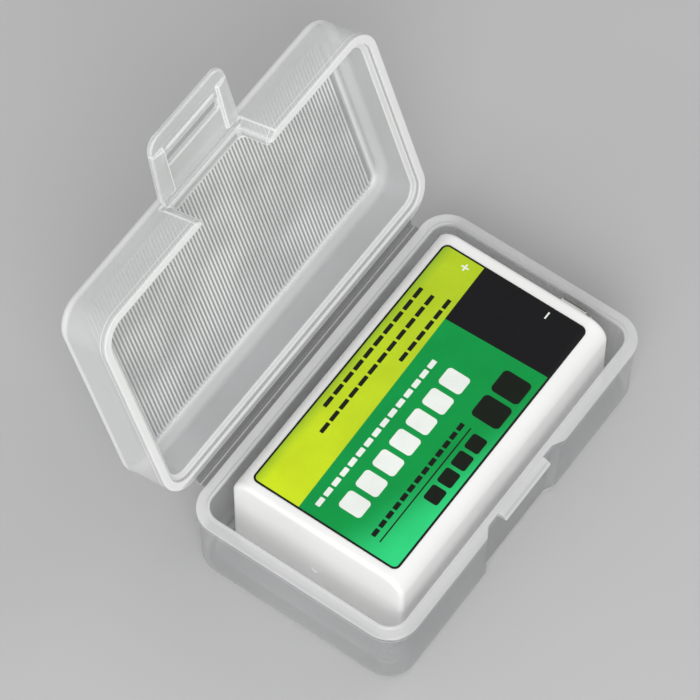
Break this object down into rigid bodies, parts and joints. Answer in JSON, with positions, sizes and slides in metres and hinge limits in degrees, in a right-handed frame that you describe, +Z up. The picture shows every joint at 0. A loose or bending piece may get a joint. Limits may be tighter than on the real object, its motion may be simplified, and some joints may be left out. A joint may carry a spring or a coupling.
{
  "type": "battery case",
  "caption": "Hinged see-through plastic case with a snap latch, holding one flat rectangular battery lying on its side.",
  "frame": {"origin": "middle of the tray's flat underside", "axes": "+X along the case's length towards the battery's terminals, +Y from the latch at the front towards the lid's hinge at the back, +Z up"},
  "size_m": [0.057, 0.0538, 0.0554],
  "materials": {
    "frosted_plastic": "natural polypropylene, see-through and slightly frosted",
    "white_plastic": "satin white moulding",
    "black_board": "phenolic board",
    "plated_contact": "nickel plated snap contact",
    "nickel_strip": "nickel plated steel",
    "printed_label": "printed film, glossy",
    "fibre_paper": "insulating fibre paper",
    "cell_can": "bright metal can"
  },
  "bodies": {
    "base": {"base_tray": "frosted_plastic", "hinge_film": "frosted_plastic", "battery_jacket": "white_plastic", "battery_end_cap": "white_plastic", "terminal_board": "black_board", "terminal_stud": "plated_contact", "terminal_socket": "plated_contact", "rivet_stud": "nickel_strip", "rivet_socket": "nickel_strip", "battery_label": "printed_label", "pad_low": "fibre_paper", "pad_high": "fibre_paper", "lead_positive": "nickel_strip", "lead_negative": "nickel_strip", "cell_1": "cell_can", "cell_2": "cell_can", "cell_3": "cell_can", "cell_4": "cell_can", "cell_5": "cell_can", "cell_6": "cell_can", "cell_7": "cell_can", "cell_link_1": "nickel_strip", "cell_link_2": "nickel_strip", "cell_link_3": "nickel_strip", "cell_link_4": "nickel_strip", "cell_link_5": "nickel_strip", "cell_link_6": "nickel_strip"},
    "lid": {"lid_cover": "frosted_plastic", "latch_film": "frosted_plastic"},
    "latch": {"latch_plate": "frosted_plastic"}
  },
  "joints": [
    {"name": "lid_hinge", "type": "hinge", "parent": "base", "child": "lid", "pos_m": [0, 0.01763, 0.01305], "axis": [-1, 0, 0], "range_deg": [-108.09, 71.91]},
    {"name": "latch_hinge", "type": "hinge", "parent": "lid", "child": "latch", "pos_m": [0, 0.03393, 0.04395], "axis": [1, 0, 0], "range_deg": [-37, 83]}
  ]
}
